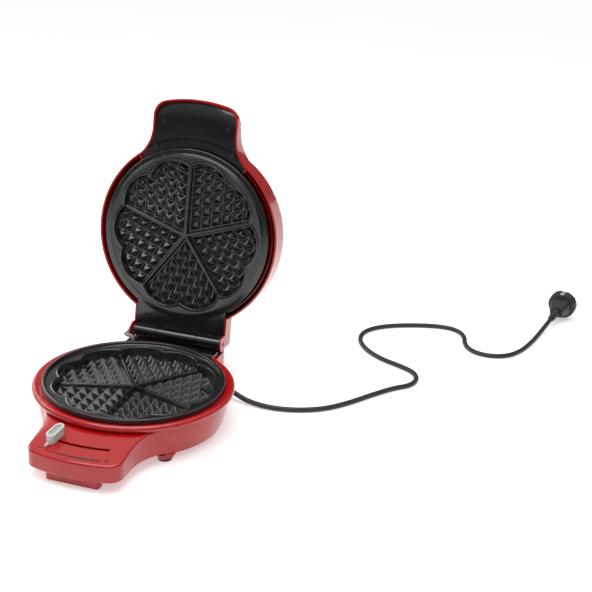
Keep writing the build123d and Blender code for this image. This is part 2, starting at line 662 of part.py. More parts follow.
def terminal_block():
    body = block(-2, 34, 106, 122, 10.9, 23.0)
    for i in range(3):
        body -= cyl(2.6, 16, 24, 4 + 12 * i, 114)
    return body


def terminal_screws():
    pieces = []
    for i in range(3):
        x = 4 + 12 * i
        pieces.append(cyl(2.3, 16.05, 19.5, x, 114) - Pos(x, 114, 19.5) * Box(4, 0.8, 1.4))
    return group(pieces)


def cord_clamp():
    saddle = block(36, 44, 98, 114, 10.9, 21.5)
    return saddle - rod(CORD_R + 0.3, RELIEF_ROOT - RELIEF_DIR * 30, RELIEF_DIR, 40)


def strain_relief():
    """Rubber sleeve: a flange inside the wall, a neck through it, a collar and a long taper."""
    inner = RELIEF_ROOT - RELIEF_DIR * 8.0
    part = rod(6.2, inner, RELIEF_DIR, 2.0) + rod(4.4, inner, RELIEF_DIR, 12)
    part += rod(5.8, RELIEF_ROOT + RELIEF_DIR * 3.4, RELIEF_DIR, 2.4)
    part += rod(5.0, RELIEF_ROOT + RELIEF_DIR * 3.6, RELIEF_DIR, RELIEF_LENGTH - 3.6, 3.9)
    return part - rod(CORD_R + 0.1, inner - RELIEF_DIR, RELIEF_DIR, 12.05)


def tail_lead():
    """The lead inside the base, from the strain relief to the terminal block."""
    start = RELIEF_ROOT + RELIEF_DIR * 3.0
    return rod(CORD_R, start, RELIEF_DIR * -1, 25.0)


def cord_route():
    start = RELIEF_ROOT + RELIEF_DIR * RELIEF_LENGTH
    end = PLUG_FACE - plug_axis() * PLUG_TAIL
    middle = [Vector(*p) for p in CORD_POINTS]
    return [start, start + RELIEF_DIR * CORD_LEAD_OUT] + middle + [end - plug_axis() * CORD_LEAD_IN, end]


def plug_axis():
    tilt, heading = radians(PLUG_TILT), radians(PLUG_HEADING)
    return Vector(cos(tilt) * cos(heading), cos(tilt) * sin(heading), sin(tilt))


def mains_cord():
    """Round lead as straight runs joined by arcs as large as the runs allow."""
    points = cord_route()
    radii = []
    for before, at, after in zip(points, points[1:], points[2:]):
        run = min((at - before).length, (after - at).length)
        half_turn = radians((at - before).get_angle(after - at)) / 2
        radii.append(0.45 * run / tan(half_turn))
    path = FilletPolyline(*points, radius=radii)
    tube = sweep(Plane(origin=path @ 0, z_dir=path % 0) * Circle(CORD_R), path=path)
    runs = [(b - a).length for a, b in zip(points, points[1:])]
    print("cord runs", [round(r) for r in runs])
    print("cord radii", [round(r) for r in radii])
    ideal = pi * CORD_R ** 2 * path.length
    print("cord length", round(path.length, 1), "volume ratio", round(tube.volume / ideal, 4))
    return tube


def plug_place(part):
    """Put a piece drawn along +Z, its face at z = 0, where the plug lies on the table."""
    heading = radians(PLUG_HEADING)
    place = Plane(origin=PLUG_FACE, z_dir=plug_axis(), x_dir=(-sin(heading), cos(heading), 0))
    return place * part


def plug_body():
    disc = Pos(0, 0, -5.5) * Cylinder(PLUG_R, 11.0)
    disc = fillet(disc.edges().sort_by(Axis.Z)[0], 3.0)
    narrow = Pos(0, 0, -PLUG_TAIL + 22) * RectangleRounded(19, 15, 6)
    wide = Pos(0, 0, -8) * RectangleRounded(30, 26, 9)
    grip = loft([narrow, wide])
    tail = Pos(0, 0, -PLUG_TAIL + 12.0) * Cone(4.1, 6.2, 24.0)
    body = disc + grip + tail
    for side in (-1, 1):
        body -= Pos(0, side * (PLUG_R + 0.2), -5) * Box(7.6, 3.0, 30.0)
        body -= Pos(side * 9.5, 0, -4) * Cylinder(2.05, 9.0)
    return plug_place(body)


def plug_pins():
    pins = []
    for side in (-1, 1):
        pin = Pos(side * 9.5, 0, 9.5) * Cylinder(2.4, 19.0)
        pin = fillet(pin.edges().sort_by(Axis.Z)[-1], 1.6)
        pins.append(pin + Pos(side * 9.5, 0, -3.9) * Cylinder(2.0, 8.0))
    return plug_place(group(pins))


def plug_earth_clips():
    clips = []
    for side in (-1, 1):
        clips.append(Pos(0, side * (PLUG_R - 0.7), -6.0) * Box(5.0, 0.9, 10.0))
    return plug_place(group(clips))


# ---------------------------------------------------------------- small pieces
def scale_print():
    """Browning scale: an arc that thickens to the right between a minus and a plus."""
    film = under_cone(HANDLE_TOP, HANDLE_FALL, -0.2) - under_cone(HANDLE_TOP, HANDLE_FALL)
    half = 11.3
    thin, thick = 0.35, 1.15
    outer = ThreePointArc(polar(MARK_R + thin, -90 - half), polar(MARK_R + (thin + thick) / 2, -90),
                          polar(MARK_R + thick, -90 + half))
    inner = ThreePointArc(polar(MARK_R - thin, -90 - half), polar(MARK_R - (thin + thick) / 2, -90),
                          polar(MARK_R - thick, -90 + half))
    ends = [Line(outer @ 0, inner @ 0), Line(outer @ 1, inner @ 1)]
    swoosh = prism(make_face([outer, inner] + ends), 20, 50)
    marks = [swoosh & film]
    for side in (-1, 1):
        x, y = polar(MARK_R - 0.5, -90 + side * (half + 2.6))
        sign = block(x - 2.2, x + 2.2, y - 0.45, y + 0.45, 20, 50)
        if side > 0:
            sign += block(x - 0.45, x + 0.45, y - 2.2, y + 2.2, 20, 50)
        marks.append(sign & film)
    return group(marks)


def front_foot_pad():
    pad = block(-26, 26, -147.5, -138, 0, FRONT_PAD_T)
    return fillet(pad.edges().filter_by(Axis.Z), 3.0)


def rubber_feet():
    return group([cyl(7.4, 0, 2.6, x, y) for x, y in round_feet()])


def cover_screws():
    pieces = []
    for x, y in base_pillars():
        low = LIP_COVER_Z if y < -100 else FLOOR_Z
        pieces.append(screw(x, y, low + 0.1, low + 11))
    return group(pieces)


def shield_screws(z, way, turn=0.0):
    pieces = []
    for angle in POST_ANGLES:
        x, y = polar(POST_R, angle + turn)
        pieces.append(screw(x, y, z - way * 1.7, z + way * 6.5))
    return group(pieces)


def hinge_block_screws():
    return group([screw(x, 119.0, 36.0, 41.0) for x in (-30.0, 30.0)])


def lamp_lens(x):
    roof = LID_HANDLE_TOP - LID_HANDLE_FALL * (hypot(x, LAMP_Y) - HANDLE_ROOT)
    barrel = cyl(LAMP_R, roof - 7, roof + 0.6, x, LAMP_Y)
    near = block(x - 5, x + 5, LAMP_Y - 5, LAMP_Y + 5, roof, roof + 2)
    dome = Pos(x, LAMP_Y, roof + 0.6) * Sphere(LAMP_R) & near
    return barrel + dome


def lamp_holder():
    roof = LID_HANDLE_TOP - LID_HANDLE_FALL * (hypot(0, LAMP_Y) - HANDLE_ROOT)
    plate = block(-17, 17, LAMP_Y - 7, LAMP_Y + 7, roof - 10.2, roof - 7.8)
    return plate


# ---------------------------------------------------------------- output
def opened(part):
    """Swing a lid piece from its closed place to the open stop."""
    return Pos(0, AXIS_Y, AXIS_Z) * Rot(-LID_OPEN, 0, 0) * Pos(0, -AXIS_Y, -AXIS_Z) * part


BASE_NODES = {
    "base_housing": base_housing,
    "bottom_cover": bottom_cover,
    "lower_plate": lower_plate,
    "lower_heating_element": lambda: heating_element(LIP_Z - 19.0, -1),
    "lower_heat_shield": lambda: heat_shield(24.2, 1, 42.0) - cyl(19.0, 20, 30),
    "lower_shield_screws": lambda: shield_screws(24.2, 1),
    "base_hinge_block": base_hinge_block,
    "hinge_block_screws": hinge_block_screws,
    "hinge_pin": hinge_pin,
    "thermostat": thermostat,
    "thermostat_bracket": thermostat_bracket,
    "thermal_fuse": thermal_fuse,
    "terminal_block": terminal_block,
    "terminal_screws": terminal_screws,
    "cord_clamp": cord_clamp,
    "tail_lead": tail_lead,
    "strain_relief": strain_relief,
    "mains_cord": mains_cord,
    "plug_body": plug_body,
    "plug_pins": plug_pins,
    "plug_earth_clips": plug_earth_clips,
    "scale_print": scale_print,
    "front_foot_pad": front_foot_pad,
    "rubber_feet": rubber_feet,
    "cover_screws": cover_screws,
    "lead_sleeve": lead_sleeve,
}
SLIDER_NODES = {
    "slider_knob": slider_knob,
    "knob_insert": knob_insert,
    "lever_arm": lever_arm,
    "thermostat_spindle": thermostat_spindle,
}
LID_NODES = {
    "lid_shell": lid_shell,
    "lid_handle_liner": lid_handle_liner,
    "lid_hinge_liner": lid_hinge_liner,
    "upper_plate": upper_plate,
    "upper_heating_element": lambda: heating_element(UPPER_LIP_Z + 8.5, 1),
    "upper_heat_shield": lambda: heat_shield(UPPER_LIP_Z + 17.3, -1, 60.0),
    "upper_shield_screws": lambda: shield_screws(UPPER_LIP_Z + 17.3, -1),
    "lid_liner_screws": lambda: group([screw(x, y, 57.7, 68.0) for x, y in liner_screws()]),
    "lid_hinge_screws": lambda: group([screw(x, y, 57.5, 68.0) for x, y in block_screws()]),
    "power_lamp": lambda: lamp_lens(-LAMP_X),
    "ready_lamp": lambda: lamp_lens(LAMP_X),
    "lamp_holder": lamp_holder,
}

os.makedirs("parts", exist_ok=True)
for nodes, is_lid in ((BASE_NODES, False), (SLIDER_NODES, False), (LID_NODES, True)):
    for name, make in nodes.items():
        solid = opened(make()) if is_lid else make()
        export_step(Pos(0, PLATE_Y, 0) * solid, f"parts/{name}.step")
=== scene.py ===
import json
import bpy
import bmesh
import numpy as np
from math import cos, radians, sin, tau
from mathutils import Matrix, Vector

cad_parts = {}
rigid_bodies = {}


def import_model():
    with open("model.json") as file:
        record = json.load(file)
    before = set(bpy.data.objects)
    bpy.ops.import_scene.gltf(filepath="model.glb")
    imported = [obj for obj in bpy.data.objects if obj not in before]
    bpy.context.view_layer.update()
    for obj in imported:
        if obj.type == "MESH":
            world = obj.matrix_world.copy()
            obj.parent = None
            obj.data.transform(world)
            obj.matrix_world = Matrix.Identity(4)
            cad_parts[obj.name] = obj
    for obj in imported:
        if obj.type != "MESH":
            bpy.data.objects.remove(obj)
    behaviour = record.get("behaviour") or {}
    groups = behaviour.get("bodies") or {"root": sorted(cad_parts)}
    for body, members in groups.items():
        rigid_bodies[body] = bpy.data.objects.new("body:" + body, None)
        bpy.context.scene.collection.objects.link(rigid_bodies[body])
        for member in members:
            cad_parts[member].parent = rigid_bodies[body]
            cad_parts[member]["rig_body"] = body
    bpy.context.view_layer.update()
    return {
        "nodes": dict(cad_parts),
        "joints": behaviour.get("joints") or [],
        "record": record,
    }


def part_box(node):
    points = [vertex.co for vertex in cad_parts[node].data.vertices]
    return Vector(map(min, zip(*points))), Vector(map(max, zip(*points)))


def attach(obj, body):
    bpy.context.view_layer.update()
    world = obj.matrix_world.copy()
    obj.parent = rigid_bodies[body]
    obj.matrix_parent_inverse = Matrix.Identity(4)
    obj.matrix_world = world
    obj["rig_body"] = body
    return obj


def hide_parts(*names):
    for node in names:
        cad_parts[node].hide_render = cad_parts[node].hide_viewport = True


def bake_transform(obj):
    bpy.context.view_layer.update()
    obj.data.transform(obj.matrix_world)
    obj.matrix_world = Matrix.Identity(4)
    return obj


# Heart waffle maker, lid open at rest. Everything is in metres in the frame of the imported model.
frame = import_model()
MM = 0.001

# ---------------------------------------------------------------- places taken from the frame
PLATE_LO, PLATE_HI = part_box("lower_plate")
CENTRE = Vector((0, (PLATE_LO.y + PLATE_HI.y) / 2, PLATE_HI.z))   # middle of the lower plate's lip
HINGE = next(j for j in frame["joints"] if j["name"] == "lid_hinge")
HINGE_AT = Vector(HINGE["pos_m"])
LID_OPEN = radians(HINGE["range_deg"][1])
RELIEF_ROOT = Vector((0.0575, CENTRE.y + 0.098, 0.019))
RELIEF_DIR = Vector((0.90, -0.30, -0.32)).normalized()
RELIEF_LENGTH = 0.022
CORD_D = 0.006
CORD_LEAVES = 0.013        # straight run out of the strain relief
PLUG_FACE = Vector((0.4235, CENTRE.y + 0.522, 0.0206))
PLUG_HEADING = radians(76)
PLUG_TILT = radians(9)
PLUG_TAIL = 0.052          # from the plug's face back to where the lead enters it
PLUG_RUN_IN = 0.020        # straight run into the plug
SLEEVE_R = 0.0023
SLEEVE_YARN = 0.00014      # height of the weave

# The lead's route on the table in mm, from the plate's centre, between its two straight ends.
CORD_POINTS = [
    (108, 83.2, 4.0), (134, 81.5, 3), (163, 88.5, 3), (190, 104.5, 3),
    (212, 131, 3), (231, 161, 3), (251, 189, 3), (268, 204, 3), (273, 223.5, 3), (266, 242, 3),
    (247, 254, 3), (217, 266, 3), (191, 289, 3), (177, 317, 3), (178, 345, 3), (195, 369, 3),
    (221, 386, 3), (247, 397, 3), (266, 402.5, 3), (284, 403.5, 3), (299, 394.5, 3), (307, 379, 3),
    (309.5, 361, 3), (317, 344, 3), (332, 333.5, 3), (352, 333.5, 3), (370, 344, 3), (383, 366, 3),
    (391, 393, 3), (396.5, 417, 3),
]


# ---------------------------------------------------------------- material helpers
def shader(name, rough, metallic=0.0, coat=0.0, coat_rough=0.08, ior=1.5):
    mat = bpy.data.materials.new(name)
    mat.use_nodes = True
    bsdf = mat.node_tree.nodes["Principled BSDF"]
    bsdf.inputs["Roughness"].default_value = rough
    bsdf.inputs["Metallic"].default_value = metallic
    bsdf.inputs["Coat Weight"].default_value = coat
    bsdf.inputs["Coat Roughness"].default_value = coat_rough
    bsdf.inputs["IOR"].default_value = ior
    return mat, mat.node_tree, bsdf


def noise(tree, scale, detail=3.0, stretch=(1, 1, 1)):
    """Noise in object space; scale is features per metre."""
    coords = tree.nodes.new("ShaderNodeTexCoord")
    mapping = tree.nodes.new("ShaderNodeMapping")
    mapping.inputs["Scale"].default_value = stretch
    texture = tree.nodes.new("ShaderNodeTexNoise")
    texture.inputs["Scale"].default_value = scale
    texture.inputs["Detail"].default_value = detail
    tree.links.new(coords.outputs["Object"], mapping.inputs["Vector"])
    tree.links.new(mapping.outputs["Vector"], texture.inputs["Vector"])
    return texture.outputs["Fac"]


def cells(tree, scale):
    """Distance to the nearest of scattered points."""
    coords = tree.nodes.new("ShaderNodeTexCoord")
    texture = tree.nodes.new("ShaderNodeTexVoronoi")
    texture.inputs["Scale"].default_value = scale
    tree.links.new(coords.outputs["Object"], texture.inputs["Vector"])
    return texture.outputs["Distance"]


def spread(tree, fac, low, high, start=0.3, end=0.7):
    """A value that runs from low to high with the texture."""
    node = tree.nodes.new("ShaderNodeMapRange")
    node.inputs["From Min"].default_value = start
    node.inputs["From Max"].default_value = end
    node.inputs["To Min"].default_value = low
    node.inputs["To Max"].default_value = high
    tree.links.new(fac, node.inputs["Value"])
    return node.outputs["Result"]


def blend_colours(tree, fac, first, second):
    node = tree.nodes.new("ShaderNodeMix")
    node.data_type = "RGBA"
    for socket, value in ((node.inputs[6], first), (node.inputs[7], second)):
        if isinstance(value, tuple):
            socket.default_value = (*value, 1)
        else:
            tree.links.new(value, socket)
    tree.links.new(fac, node.inputs[0])
    return node.outputs[2]


def bumps(tree, bsdf, *layers):
    """Bump layers, each a height socket and its depth in metres."""
    normal = None
    for height, depth in layers:
        node = tree.nodes.new("ShaderNodeBump")
        node.inputs["Distance"].default_value = depth
        tree.links.new(height, node.inputs["Height"])
        if normal is not None:
            tree.links.new(normal, node.inputs["Normal"])
        normal = node.outputs["Normal"]
    tree.links.new(normal, bsdf.inputs["Normal"])


# ---------------------------------------------------------------- materials
def moulded(name, colour, darker, rough, grain, depth, coat=0.0, coat_rough=0.08):
    """Moulded plastic or rubber: a fine grain, slight mottling and uneven polish."""
    mat, tree, bsdf = shader(name, rough, coat=coat, coat_rough=coat_rough)
    mottle = spread(tree, noise(tree, 38, 4), 0, 1)
    tree.links.new(blend_colours(tree, mottle, colour, darker), bsdf.inputs["Base Color"])
    polish = spread(tree, noise(tree, 120, 5), rough * 0.88, rough * 1.18)
    tree.links.new(polish, bsdf.inputs["Roughness"])
    bumps(tree, bsdf, (noise(tree, grain, 3), depth))
    return mat


def non_stick():
    """Cast aluminium under a dark speckled coating."""
    mat, tree, bsdf = shader("non_stick_coating", 0.20, coat=0.55, coat_rough=0.13)
    fleck = spread(tree, cells(tree, 900), 1, 0, 0.10, 0.26)
    rare = spread(tree, noise(tree, 620, 2), 0, 1, 0.50, 0.62)
    both = tree.nodes.new("ShaderNodeMath")
    both.operation = "MULTIPLY"
    tree.links.new(fleck, both.inputs[0])
    tree.links.new(rare, both.inputs[1])
    mottle = spread(tree, noise(tree, 60, 5), 0, 1)
    ground = blend_colours(tree, mottle, (0.007, 0.007, 0.008), (0.013, 0.013, 0.013))
    speckled = blend_colours(tree, both.outputs[0], ground, (0.13, 0.13, 0.13))
    tree.links.new(speckled, bsdf.inputs["Base Color"])
    tree.links.new(spread(tree, noise(tree, 240, 5), 0.12, 0.22), bsdf.inputs["Roughness"])
    bumps(tree, bsdf, (noise(tree, 1500, 4), 0.00008), (noise(tree, 260, 3), 0.00006))
    return mat


def metal(name, colour, rough, brushed=(1, 1, 1), grain=900, depth=0.00002):
    mat, tree, bsdf = shader(name, rough, metallic=1.0)
    tone = spread(tree, noise(tree, 90, 5), 0, 1)
    dull = tuple(c * 0.82 for c in colour)
    tree.links.new(blend_colours(tree, tone, colour, dull), bsdf.inputs["Base Color"])
    polish = spread(tree, noise(tree, grain, 4, brushed), rough * 0.75, rough * 1.3)
    tree.links.new(polish, bsdf.inputs["Roughness"])
    bumps(tree, bsdf, (noise(tree, grain, 3, brushed), depth))
    return mat


def heated_sheath():
    """Element sheath with straw and blue heat tints."""
    mat, tree, bsdf = shader("heated_sheath", 0.38, metallic=1.0)
    tint = spread(tree, noise(tree, 45, 3), 0, 1)
    warm = blend_colours(tree, tint, (0.42, 0.36, 0.28), (0.30, 0.31, 0.36))
    tree.links.new(warm, bsdf.inputs["Base Color"])
    tree.links.new(spread(tree, noise(tree, 600, 4), 0.30, 0.46), bsdf.inputs["Roughness"])
    bumps(tree, bsdf, (noise(tree, 1200, 3), 0.00003))
    return mat


def braid_cloth():
    """Woven glass fibre: grey yarns with dark gaps."""
    mat, tree, bsdf = shader("woven_glass_fibre", 0.55)
    yarn = spread(tree, noise(tree, 2400, 3), 0, 1)
    cloth = blend_colours(tree, yarn, (0.10, 0.10, 0.10), (0.34, 0.34, 0.33))
    tree.links.new(cloth, bsdf.inputs["Base Color"])
    tree.links.new(spread(tree, noise(tree, 900, 3), 0.42, 0.66), bsdf.inputs["Roughness"])
    bsdf.inputs["Sheen Weight"].default_value = 0.25
    bumps(tree, bsdf, (noise(tree, 3000, 3), 0.00008))
    return mat


def lens(name, colour):
    """Clear tinted lens with fine moulding lines."""
    mat, tree, bsdf = shader(name, 0.12, coat=0.5, coat_rough=0.04)
    bsdf.inputs["Transmission Weight"].default_value = 0.35
    deep = tuple(c * 0.6 for c in colour)
    tree.links.new(blend_colours(tree, spread(tree, noise(tree, 300, 3), 0, 1), colour, deep),
                   bsdf.inputs["Base Color"])
    tree.links.new(spread(tree, noise(tree, 200, 3), 0.08, 0.16), bsdf.inputs["Roughness"])
    bumps(tree, bsdf, (noise(tree, 1500, 2), 0.00002))
    return mat


RED = moulded("glossy_red", (0.42, 0.005, 0.006), (0.37, 0.004, 0.005), 0.13, 900, 0.00001, 0.25, 0.03)
BLACK = moulded("black_moulded", (0.007, 0.007, 0.008), (0.005, 0.005, 0.006), 0.14, 2600, 0.00001, 0.5, 0.04)
LEAD = moulded("lead_rubber", (0.017, 0.017, 0.018), (0.010, 0.010, 0.011), 0.44, 1800, 0.00005)
FOOT = moulded("foot_rubber", (0.045, 0.043, 0.042), (0.030, 0.029, 0.029), 0.62, 1400, 0.00009)
SILVER = moulded("silver_paint", (0.58, 0.575, 0.565), (0.50, 0.495, 0.485), 0.24, 1800, 0.00002, 0.35, 0.1)
INLAY = moulded("grey_green_inlay", (0.36, 0.39, 0.35), (0.29, 0.32, 0.285), 0.34, 1600, 0.00004)
PRINT = moulded("dark_print", (0.030, 0.010, 0.010), (0.018, 0.008, 0.008), 0.30, 2200, 0.00001)
CERAMIC = moulded("off_white_moulding", (0.78, 0.75, 0.68), (0.70, 0.67, 0.60), 0.48, 1500, 0.00004)
COATING = non_stick()
STEEL = metal("zinc_plated_steel", (0.60, 0.60, 0.61), 0.30)
BLACKENED = metal("blackened_steel", (0.06, 0.06, 0.063), 0.36)
SHEET = metal("bright_sheet", (0.77, 0.77, 0.78), 0.24, (1, 14, 1), 500)
BRASS = metal("turned_brass", (0.72, 0.53, 0.22), 0.26, (1, 1, 20), 700)
NICKEL = metal("nickel_plate", (0.72, 0.70, 0.66), 0.16, (1, 1, 8), 800)
SHEATH = heated_sheath()
WOVEN = braid_cloth()
RED_LENS = lens("red_lens", (0.80, 0.03, 0.02))
GREEN_LENS = lens("green_lens", (0.04, 0.55, 0.10))

FINISHES = {
    "red_shell": RED, "non_stick": COATING, "black_plastic": BLACK, "element_sheath": SHEATH,
    "shield_sheet": SHEET, "steel": STEEL, "black_screw": BLACKENED, "ceramic": CERAMIC, "brass": BRASS,
    "lead_rubber": LEAD, "foot_rubber": FOOT, "nickel": NICKEL, "print_black": PRINT,
    "silver_plastic": SILVER, "knob_grip": INLAY, "lamp_red": RED_LENS, "lamp_green": GREEN_LENS,
    "glass_sleeve": WOVEN,
}
SLOTS = {row["node"]: row["material_slot"] for row in frame["record"]["subparts"]}
for node, piece in frame["nodes"].items():
    for place in piece.material_slots:
        place.material = FINISHES[SLOTS[node]]


# ---------------------------------------------------------------- mesh helpers
def make_piece(name, points, faces, body, node, material=None):
    """A smooth mesh piece that stands for a CAD node and rides on its body."""
    mesh = bpy.data.meshes.new(name)
    mesh.from_pydata([tuple(p) for p in points], [], faces)
    mesh.validate()
    mesh.materials.append(material or FINISHES[SLOTS[node]])
    for polygon in mesh.polygons:
        polygon.use_smooth = True
    piece = bpy.data.objects.new(name, mesh)
    bpy.context.scene.collection.objects.link(piece)
    if body:
        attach(piece, body)
    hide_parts(node)
    return piece


def ring_faces(rings, count, closed=True):
    """Quads between rings of count points each."""
    around = count if closed else count - 1
    faces = []
    for i in range(rings - 1):
        for j in range(around):
            k = (j + 1) % count
            faces.append((i * count + j, i * count + k, (i + 1) * count + k, (i + 1) * count + j))
    return faces


def softened(node, width, angle=30.0, segments=3):
    """The node's own shape with its sharp edges rounded over."""
    source = frame["nodes"][node]
    mesh = source.data.copy()
    mesh.name = node + "_soft"
    bm = bmesh.new()
    bm.from_mesh(mesh)
    bmesh.ops.remove_doubles(bm, verts=bm.verts, dist=2e-6)
    bmesh.ops.dissolve_degenerate(bm, edges=bm.edges, dist=1e-6)
    bmesh.ops.dissolve_limit(bm, angle_limit=radians(0.4), verts=bm.verts, edges=bm.edges)
    bmesh.ops.recalc_face_normals(bm, faces=bm.faces)
    for face in bm.faces:
        face.smooth = True
    for edge in bm.edges:
        edge.smooth = edge.calc_face_angle(0.0) < radians(angle)
    bm.to_mesh(mesh)
    bm.free()
    if "custom_normal" in mesh.attributes:
        mesh.attributes.remove(mesh.attributes["custom_normal"])
    piece = bpy.data.objects.new(node + "_soft", mesh)
    bpy.context.scene.collection.objects.link(piece)
    bevel = piece.modifiers.new("edges", "BEVEL")
    bevel.width = width
    bevel.segments = segments
    bevel.limit_method = "ANGLE"
    bevel.angle_limit = radians(angle)
    bevel.use_clamp_overlap = True
    bevel.harden_normals = True
    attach(piece, source["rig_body"])
    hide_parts(node)
    return piece


# ---------------------------------------------------------------- cooking plates
HEARTS = 5
AROUND = 720               # points round a plate, a multiple of twice the hearts
INNER_RINGS = 132          # rings of points inside the pocket's wall
LOBE_CENTRE = 56.4
LOBE_R = 31.6
PITCH = 13.0
VALLEY = 4.2               # from a divider to the first pyramids
PYRAMID_HALF = 6.05
PYRAMID_TIP = 0.75         # half-width of a pyramid's flat tip
PYRAMID_H = 6.2
OUTLINE_GAP = 3.0          # from the hearts' outline to the pyramids
OUTLINE_SLOPE = 1.9        # rise of the cut beside the outline
DIVIDER_HALF = 2.5         # half-width of a divider's foot
DIVIDER_SLOPE = 4.6
WALL_FOOT = 2.4            # how far the pocket's wall leans


def soft_max(a, b, k):
    """The larger value, rounded over where the two are within k of each other."""
    h = np.clip(0.5 + 0.5 * (a - b) / k, 0, 1)
    return b * (1 - h) + a * h + k * h * (1 - h)


def soft_min(a, b, k):
    return -soft_max(-a, -b, k)


def reach(theta):
    """Radius of the five-heart outline, in the direction theta from a divider."""
    step = np.pi / HEARTS
    off = np.mod(theta, step) - step / 2
    return LOBE_CENTRE * np.cos(off) + np.sqrt(LOBE_R ** 2 - (LOBE_CENTRE * np.sin(off)) ** 2)


def relief(x, y, height, divider):
    """Height above the pocket's floor of the pyramids and dividers."""
    theta = np.arctan2(y, x) + np.pi / 2
    step = 2 * np.pi / HEARTS
    turn = np.mod(theta, step)
    r = np.hypot(x, y)
    u, v = r * np.cos(turn), r * np.sin(turn)
    b = v / sin(step)
    a = u - v / np.tan(step)
    da = np.abs(np.mod((a - VALLEY) / PITCH, 1) - 0.5) * PITCH
    db = np.abs(np.mod((b - VALLEY) / PITCH, 1) - 0.5) * PITCH
    edge = soft_max(da, db, 0.35)
    rise = height * (PYRAMID_HALF - edge) / (PYRAMID_HALF - PYRAMID_TIP)
    rise = soft_min(rise, np.full_like(rise, height), 0.5)
    inside = (a > VALLEY) & (b > VALLEY)
    rise = np.where(inside, rise, -2.0)
    gap = np.maximum(LOBE_R - np.hypot(*lobe_offset(theta, r)), 0.6 * (reach(theta) - r))
    rise = soft_min(rise, (gap - OUTLINE_GAP) * OUTLINE_SLOPE, 0.5)
    rise = soft_max(rise, np.zeros_like(rise), 0.35)
    near = np.minimum(np.abs(r * np.sin(turn)), np.abs(r * np.sin(step - turn)))
    near = np.where(np.minimum(turn, step - turn) > np.pi / 2, r, near)
    bar = soft_min((DIVIDER_HALF - near) * DIVIDER_SLOPE, np.full_like(near, divider), 0.6)
    return soft_max(rise, np.maximum(bar, 0), 0.4)


def lobe_offset(theta, r):
    """Place relative to the nearest lobe's centre."""
    step = np.pi / HEARTS
    off = np.mod(theta, step) - step / 2
    return r * np.cos(off) - LOBE_CENTRE, r * np.sin(off)


def plate_points(ledge, floor, divider, rim, back):
    """Rings of points, from the middle outwards, over the lip and round the back. In mm, lip at z = 0."""
    theta = np.arange(AROUND) * tau / AROUND - np.pi / 2
    outline = reach(theta + np.pi / 2)
    rings = []
    depth = ledge - floor
    for i in range(INNER_RINGS):
        r = np.maximum((outline - WALL_FOOT - 0.8) * (i + 0.35) / (INNER_RINGS - 0.65), 0.05)
        x, y = r * np.cos(theta), r * np.sin(theta)
        rings.append((x, y, floor + relief(x, y, PYRAMID_H, divider - floor)))
    last = rings[-1][2] - floor
    # pocket wall: foot fillet, lean, rounded brim with a fine bead
    wall = [(-WALL_FOOT - 0.3, 0.10), (-WALL_FOOT, 0.8), (-WALL_FOOT * 0.72, depth * 0.30),
            (-WALL_FOOT * 0.40, depth * 0.66), (-0.55, depth - 0.9), (-0.25, depth - 0.25),
            (0.05, depth + 0.22), (0.45, depth + 0.42), (0.95, depth + 0.38), (1.35, depth + 0.12),
            (1.7, depth)]
    for shift, up in wall:
        r = outline + shift
        lift = soft_max(np.full_like(r, up), np.minimum(last, divider - floor), 0.5) if up < depth else up
        rings.append((r * np.cos(theta), r * np.sin(theta), floor + np.broadcast_to(lift, r.shape)))
    start = outline + wall[-1][0]
    first = rim[0][0]
    for share in (0.25, 0.5, 0.75):
        r = start + (first - start) * share
        rings.append((r * np.cos(theta), r * np.sin(theta), np.full_like(r, ledge)))
    for radius, z in rim + back:
        rings.append((radius * np.cos(theta), radius * np.sin(theta), np.full_like(theta, z)))
    return [np.stack(ring, axis=1) for ring in rings]


def round_lip(inner_r, outer_r, ledge, skirt):
    """Profile of the lip, rounded on both sides, from the ledge over the top and down the skirt."""
    return [(inner_r - 1.6, ledge),
            (inner_r - 0.9, ledge + 0.05 * abs(ledge)), (inner_r - 0.45, ledge * 0.62),
            (inner_r - 0.2, ledge * 0.28), (inner_r + 0.15, ledge * 0.06), (inner_r + 0.7, 0.0),
            (outer_r - 0.9, 0.0), (outer_r - 0.35, -0.18), (outer_r - 0.06, -0.62), (outer_r, -1.2),
            (outer_r, skirt * 0.6), (outer_r, skirt), (outer_r - 1.5, skirt)]


def cooking_plate(name, node, body, place, ledge, floor, divider, lip_r, lip_w, skirt, back_z):
    """A plate in mm with its lip's top at z = 0, set in place on a body."""
    rim = round_lip(lip_r - lip_w, lip_r, ledge, skirt)
    back = [(93.0, skirt), (90.5, back_z), (60.0, back_z), (30.0, back_z), (0.4, back_z)]
    rings = plate_points(ledge, floor, divider, rim, back)
    points = np.concatenate(rings)
    faces = ring_faces(len(rings), AROUND)
    faces.append(tuple(reversed(range(AROUND))))
    last = (len(rings) - 1) * AROUND
    faces.append(tuple(range(last, last + AROUND)))
    return make_piece(name, [place @ Vector(p * MM) for p in points], faces, body, node)


LIP_SPACING = 0.0008       # the upper lip lies this much above the lower one when the lid is closed
open_turn = (Matrix.Translation(HINGE_AT) @ Matrix.Rotation(-LID_OPEN, 4, "X")
             @ Matrix.Translation(-HINGE_AT))
lower_place = Matrix.Translation(CENTRE)
upper_place = (open_turn @ Matrix.Translation(CENTRE + Vector((0, 0, LIP_SPACING)))
               @ Matrix.Rotation(radians(180), 4, "Y"))
cooking_plate("lower_cooking_plate", "lower_plate", "base", lower_place, ledge=-3.5, floor=-15.5,
              divider=-9.6, lip_r=98.5, lip_w=3.5, skirt=-7.5, back_z=-19.0)
cooking_plate("upper_cooking_plate", "upper_plate", "lid", upper_place, ledge=3.0, floor=-5.0,
              divider=0.8, lip_r=100.0, lip_w=6.0, skirt=-6.0, back_z=-8.5)


